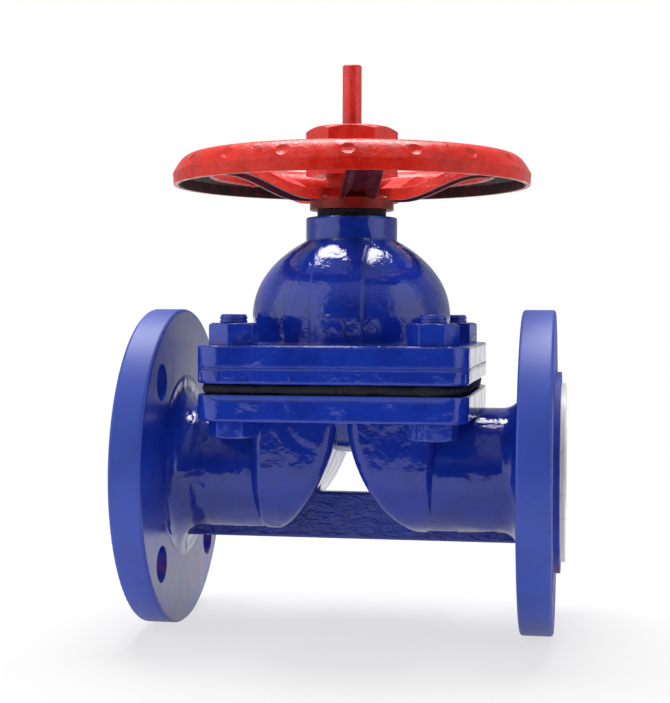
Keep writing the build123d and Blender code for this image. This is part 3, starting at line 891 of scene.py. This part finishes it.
    def spoke(self) -> Piece:
        """Models one channel spoke, open below, pulled from the hub to the rim."""
        top, foot = self.spoke_half
        wall, deep = self.spoke_wall, self.spoke_depth
        start, end = self.spoke_ends
        section = [(-foot, -deep), (-top, 0), (top, 0), (foot, -deep)]
        section += [(foot - wall, -deep), (top - wall, -wall), (wall - top, -wall), (wall - foot, -deep)]
        obj = self.draw("wheel_spoke", [(p[0], self.spoke_low + p[1]) for p in section])
        bpy.ops.mesh.select_all(action="SELECT")
        bpy.ops.transform.rotate(value=math.pi / 2, orient_axis="Z", center_override=(0, 0, 0))
        bpy.ops.transform.translate(value=(start * MM, 0, 0))
        last = (start, self.spoke_low)
        for index in range(1, self.spoke_steps + 1):
            x = start + (end - start) * index / self.spoke_steps
            t = min(1.0, max(0.0, (x - self.climb_from) / (self.climb_to - self.climb_from)))
            z = self.spoke_low + (self.spoke_high - self.spoke_low) * t * t * (3 - 2 * t)
            Bench().pull(x - last[0], 0, z - last[1])
            last = (x, z)
        bpy.ops.object.mode_set(mode="OBJECT")
        Bench().outward(obj)
        return Bench().done(obj)

    def build(self, paint: Paint) -> None:
        """Models the whole wheel and puts it in the frame's place."""
        bench = Bench()
        bore, ring_r, neck_r, tall = self.hub
        low, flare = self.hub_low, self.hub_low + self.hub_ring
        outline = [(bore, low), (ring_r, low), (ring_r, flare), (neck_r, flare + self.hub_cone)]
        outline += [(neck_r, low + tall), (bore, low + tall)]
        hub = self.turned("wheel_hub", outline, self.hub_steps)
        parts = [self.rim(), hub]
        first = self.spoke()
        for index in range(self.spokes):
            copy = first.copy()
            copy.data = first.data.copy()
            bpy.context.scene.collection.objects.link(copy)
            copy.rotation_euler = (0, 0, math.radians(self.spoke_turn + index * 360 / self.spokes))
            parts.append(bench.done(copy))
        bpy.data.objects.remove(first)
        wheel = bench.join(parts, "cast_handwheel")
        bench.done(wheel, 15)
        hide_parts("handwheel")
        bench.dress(wheel, paint, Rides.WHEEL)


@dataclass
class PlateLoops:
    """What runs round the bolted stack: the squeezed rubber edge and the painted seam."""

    cuts: int = 44
    rubber_size: tuple[float, float] = (120.6, 133.4)
    rubber_corner: float = 10.6
    rubber_level: float = 122.5
    rubber_thick: float = 1.9
    rubber_rise: float = 1.28
    folds: tuple[float, float] = (14.0, 3.4)
    seam_size: tuple[float, float] = (126.9, 138.9)
    seam_corner: float = 11.4
    seam_level: float = 132.0
    seam_thick: float = 0.75
    lumps: tuple[float, float] = (4.0, 0.9)

    def loop(
        self, name: str, size: tuple[float, float], corner: float, height: float, thick: float
    ) -> Piece:
        """Models a round bead along a rounded rectangle.

        Args:
            name: The piece's name.
            size: Length and width of the bead's middle line, in millimetres.
            corner: Its corner radius.
            height: Its height over the floor.
            thick: Half its thickness.
        """
        bench = Bench()
        bench.clear()
        bpy.ops.mesh.primitive_plane_add(size=MM, location=(0, 0, height * MM))
        obj = bench.added(name)
        bench.edit(obj)
        bpy.ops.mesh.select_all(action="SELECT")
        bpy.ops.transform.resize(value=(size[0], size[1], 1))
        bpy.ops.mesh.bevel(offset=corner * MM, affect="VERTICES", segments=10, profile=0.5)
        bpy.ops.mesh.delete(type="ONLY_FACE")
        mesh = bench.edit(obj, "EDGE")
        for edge in mesh.edges:
            edge.select = edge.calc_length() > 20 * MM
        bench.show(obj, mesh)
        bpy.ops.mesh.subdivide(number_cuts=self.cuts)
        bpy.ops.object.mode_set(mode="OBJECT")
        bpy.ops.object.convert(target="CURVE")
        obj.data.bevel_depth = thick * MM
        obj.data.bevel_resolution = 3
        bpy.ops.object.convert(target="MESH")
        bench.outward(obj)
        return obj

    def wander(self, obj: Piece, size: float, depth: float, name: str) -> None:
        """Gives a bead its uneven thickness.

        Args:
            obj: The bead.
            size: Size of the lumps in millimetres.
            depth: How far they stand out or in.
            name: The name of the pattern.
        """
        lumps = bpy.data.textures.new(name, "CLOUDS")
        lumps.noise_scale = size * MM
        lumps.noise_depth = 2
        pattern = dict(texture=lumps, texture_coords="LOCAL", mid_level=0.5)
        Bench().apply(obj, "DISPLACE", strength=depth * MM, **pattern)

    def build(self, paint: Paint, rubber: Paint) -> None:
        """Models the two loops."""
        bench = Bench()
        level = self.rubber_level
        edge = self.loop("diaphragm_edge", self.rubber_size, self.rubber_corner, level, self.rubber_thick)
        bench.edit(edge)
        bpy.ops.mesh.select_all(action="SELECT")
        bpy.ops.transform.resize(value=(1, 1, self.rubber_rise), center_override=(0, 0, level * MM))
        self.wander(edge, *self.folds, "rubber_folds")
        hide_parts("diaphragm")
        bench.dress(bench.done(edge, 60), rubber, Rides.CASING)
        seam = self.loop("plate_seam", self.seam_size, self.seam_corner, self.seam_level, self.seam_thick)
        self.wander(seam, *self.lumps, "seam_lumps")
        bench.dress(bench.done(seam, 60), paint, Rides.CASING)


@dataclass
class BendingSheets:
    """The rubber and its white facing, each in four flat leaves parted along lines between clamp and
    compressor.
    """

    clamp: tuple[float, float] = (41.0, 33.0)
    press: tuple[float, float] = (18.0, 6.5)
    rubber_half: tuple[float, float] = (57.5, 63.5)
    rubber_levels: tuple[float, float] = (121.0, 124.94)
    facing_half: tuple[float, float] = (43.8, 36.2)
    facing_levels: tuple[float, float] = (120.02, 120.98)
    middle: float = 122.5
    cell: float = 2.2

    def planes(self, side: tuple[int, int]) -> list[tuple[tuple[float, float], tuple[float, float]]]:
        """The cuts that part one leaf from its neighbours.

        Args:
            side: The way that the leaf points from the stem, in X and Y.

        Returns:
            A point and a normal for each cut, the leaf being on the normal's side.
        """
        far_x, far_y = self.clamp
        run_x, run_y = far_x - self.press[0], far_y - self.press[1]
        cuts = []
        for turn in (1, -1):
            if side[0]:
                cuts.append(((side[0] * far_x, turn * far_y), (side[0] * run_y, -turn * run_x)))
            else:
                cuts.append(((turn * far_x, side[1] * far_y), (-turn * run_y, side[1] * run_x)))
        if side[1]:
            cuts.append(((0.0, 0.0), (0.0, side[1])))
        return cuts

    def leaf(
        self, name: str, half: tuple[float, float], levels: tuple[float, float], side: tuple[int, int]
    ) -> Piece:
        """Models one leaf of a sheet.

        Args:
            name: The leaf's name.
            half: Half the sheet's length and width in millimetres.
            levels: The heights of its two faces.
            side: The way that the leaf points.
        """
        bench = Bench()
        bench.clear()
        across, along = (round(2 * h / self.cell) for h in half)
        bpy.ops.mesh.primitive_grid_add(
            x_subdivisions=across, y_subdivisions=along, size=2 * MM, location=(0, 0, levels[0] * MM)
        )
        obj = bench.added(name)
        bench.edit(obj)
        bpy.ops.mesh.select_all(action="SELECT")
        bpy.ops.transform.resize(value=(half[0], half[1], 1), center_override=(0, 0, levels[0] * MM))
        bench.pull(0, 0, levels[1] - levels[0])
        for place, normal in self.planes(side):
            plane = dict(plane_co=(place[0] * MM, place[1] * MM, 0), plane_no=(*normal, 0))
            bpy.ops.mesh.select_all(action="SELECT")
            bpy.ops.mesh.bisect(**plane, use_fill=True, clear_inner=True)
        bpy.ops.object.mode_set(mode="OBJECT")
        bench.outward(obj)
        return bench.done(obj)

    def build(self, rubber: Paint, white: Paint) -> None:
        """Models the eight leaves in place of the frame's sheets."""
        bench = Bench()
        sides = {"right": (1, 0), "left": (-1, 0), "back": (0, 1), "front": (0, -1)}
        for word, side in sides.items():
            soft = self.leaf(f"diaphragm_{word}", self.rubber_half, self.rubber_levels, side)
            thin = self.leaf(f"facing_{word}", self.facing_half, self.facing_levels, side)
            bench.dress(soft, rubber)
            bench.dress(thin, white)
            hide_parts("diaphragm")
            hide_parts("diaphragm_facing")
            for piece in (soft, thin):
                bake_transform(piece)


@dataclass
class Studio:
    """Pale floor, white surroundings, one soft lamp and the camera."""

    eye: tuple[float, float, float] = (0.115458, -0.736686, 0.156927)
    yaw: float = 0.1665
    pitch: float = 0.0243
    roll: float = 0.0029
    focal_px: float = 1478.79
    frame_px: float = 703.0
    sensor: float = 36.0
    left_wing: tuple[float, float] = (-96.0, -25.0)
    right_wing: tuple[float, float] = (58.0, 100.0)
    wing_top: float = 50.0
    wing_light: float = 1.3
    gap_light: float = 0.03
    ceiling_light: float = 0.45
    back_light: float = 0.42
    back_high: float = 0.3
    back_fall: tuple[float, float] = (22.0, 44.0)
    ceiling_rise: tuple[float, float] = (8.0, 45.0)
    floor_front: float = -0.76
    floor_length: float = 30.0

    def camera(self) -> None:
        """Sets the camera up at the photograph's place and angle."""
        right = Vector((math.cos(self.yaw), math.sin(self.yaw), 0))
        ahead = Vector(
            (
                -math.sin(self.yaw) * math.cos(self.pitch),
                math.cos(self.yaw) * math.cos(self.pitch),
                -math.sin(self.pitch),
            )
        )
        up = right.cross(ahead)
        side = math.cos(self.roll) * right + math.sin(self.roll) * up
        top = -math.sin(self.roll) * right + math.cos(self.roll) * up
        data = bpy.data.cameras.new("camera")
        data.sensor_width = self.sensor
        data.lens = self.focal_px * self.sensor / self.frame_px
        data.clip_start = 0.05
        camera = bpy.data.objects.new("camera", data)
        bpy.context.scene.collection.objects.link(camera)
        turn = Matrix((side, top, -ahead)).transposed().to_4x4()
        camera.matrix_world = Matrix.Translation(Vector(self.eye)) @ turn
        bpy.context.scene.camera = camera

    def floor(self) -> None:
        """Lays a large pale floor that keeps the valve's shadow and turns white with distance."""
        Bench().clear()
        middle = self.floor_front + self.floor_length / 2
        bpy.ops.mesh.primitive_plane_add(size=self.floor_length, location=(0, middle, -0.0004))
        plane = Bench().added("floor")
        Bench().done(plane)
        graph = Graph("pale_floor")
        x, y, z = graph.coordinates()
        far = graph.ramp(graph.span(x, y), 0.3, 0.72)
        clouds = graph.ramp(graph.noise(400.0, 2.0), 0.4, 0.6)
        shade = graph.mix(clouds, linear((236, 236, 237)), linear((240, 240, 241)))
        matt = graph.add("ShaderNodeBsdfDiffuse")
        graph.feed(matt.inputs["Color"], shade)
        keep = graph.add("ShaderNodeBsdfDiffuse")
        graph.feed(keep.inputs["Color"], linear((124, 124, 124)))
        glow = graph.add("ShaderNodeEmission")
        glow.inputs["Strength"].default_value = 0.68
        lit = graph.add("ShaderNodeAddShader")
        graph.feed(lit.inputs[0], keep.outputs[0])
        graph.feed(lit.inputs[1], glow.outputs[0])
        white = graph.add("ShaderNodeEmission")
        white.inputs["Strength"].default_value = 1.0
        spread = graph.add("ShaderNodeMixShader")
        graph.feed(spread.inputs[0], far)
        graph.feed(spread.inputs[1], lit.outputs[0])
        graph.feed(spread.inputs[2], white.outputs[0])
        choice = graph.add("ShaderNodeMixShader")
        graph.feed(choice.inputs[0], self.sees(graph, "Is Glossy Ray"))
        graph.feed(choice.inputs[1], matt.outputs[0])
        graph.feed(choice.inputs[2], spread.outputs[0])
        graph.feed(graph.output.inputs["Surface"], choice.outputs[0])
        plane.data.materials.append(graph.material)

    def sees(self, graph: Graph, *more: str) -> Socket:
        """Tells camera, transmission and named rays from the rays that light the valve."""
        path = graph.add("ShaderNodeLightPath").outputs
        seen = graph.maths("MAXIMUM", path["Is Camera Ray"], path["Is Transmission Ray"])
        for name in more:
            seen = graph.maths("MAXIMUM", seen, path[name])
        return seen

    def surroundings(self) -> None:
        """Puts a backdrop behind the valve, a white wing at each side and a dim gap at the camera."""
        graph = Graph("studio", world=True)
        bpy.context.scene.world = graph.material
        x, y, z = graph.coordinates()
        turn = graph.maths("ARCTAN2", x, graph.maths("MULTIPLY", y, -1.0))
        rise = graph.maths("ARCSINE", z)
        left = graph.window(turn, *(math.radians(a) for a in (*self.left_wing, 2.0)))
        right = graph.window(turn, *(math.radians(a) for a in (*self.right_wing, 7.0)))
        low = graph.ramp(rise, math.radians(self.wing_top - 2), math.radians(self.wing_top + 2), 1.0, 0.0)
        wings = graph.maths("MULTIPLY", graph.maths("ADD", left, right), low)
        around = graph.window(turn, math.radians(self.left_wing[0]), math.radians(self.right_wing[1]), 0.03)
        behind = graph.maths("SUBTRACT", 1.0, around)
        fall = (math.radians(a) for a in self.back_fall)
        behind = graph.product(behind, graph.ramp(rise, *fall, self.back_light, self.back_high))
        total = graph.maths("ADD", graph.maths("MULTIPLY", wings, self.wing_light), behind)
        climb = (math.radians(a) for a in self.ceiling_rise)
        above = graph.product(around, graph.ramp(rise, *climb, self.gap_light, self.ceiling_light))
        total = graph.maths("ADD", total, graph.product(above, graph.maths("SUBTRACT", 1.0, wings)))
        dim = graph.add("ShaderNodeBackground")
        graph.feed(dim.inputs["Strength"], total)
        white = graph.add("ShaderNodeBackground")
        for sheet in (dim, white):
            sheet.inputs["Color"].default_value = (1, 1, 1, 1)
        choice = graph.add("ShaderNodeMixShader")
        graph.feed(choice.inputs[0], self.sees(graph))
        graph.feed(choice.inputs[1], dim.outputs[0])
        graph.feed(choice.inputs[2], white.outputs[0])
        graph.feed(graph.output.inputs["Surface"], choice.outputs[0])

    def lamp(self, name: str, place: tuple, aim: tuple, size: tuple, watts: float) -> None:
        """Hangs one softbox.

        Args:
            name: The lamp's name.
            place: Where it hangs, in metres.
            aim: The point that it faces.
            size: Its width and height.
            watts: Its power.
        """
        data = bpy.data.lights.new(name, "AREA")
        data.shape = "RECTANGLE"
        data.size, data.size_y = size
        data.energy = watts
        lamp = bpy.data.objects.new(name, data)
        bpy.context.scene.collection.objects.link(lamp)
        lamp.location = place
        lamp.rotation_euler = (Vector(aim) - Vector(place)).to_track_quat("-Z", "Y").to_euler()
        lamp.visible_camera = False

    def build(self) -> None:
        """Sets up the whole studio."""
        self.camera()
        self.floor()
        self.surroundings()
        self.lamp("overhead_softbox", (-0.11, 0.35, 1.4), (-0.11, 0.1, 0.2), (1.02, 0.7), 30)
        bpy.context.scene.view_settings.view_transform = "Standard"


def main() -> None:
    """Builds the dressed valve and its studio in order."""
    logging.basicConfig(level=logging.INFO, format="%(name)s %(message)s")
    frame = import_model()
    Studio().build()
    paints = Paintbox()
    paints.cover(frame["nodes"])
    BoltEnds().build(paints.fasteners)
    PlateLoops().build(paints.plate, paints.rubber)
    BendingSheets().build(paints.rubber, paints.lining)
    HandWheel().build(paints.wheel)


if __name__ == "__main__":
    main()
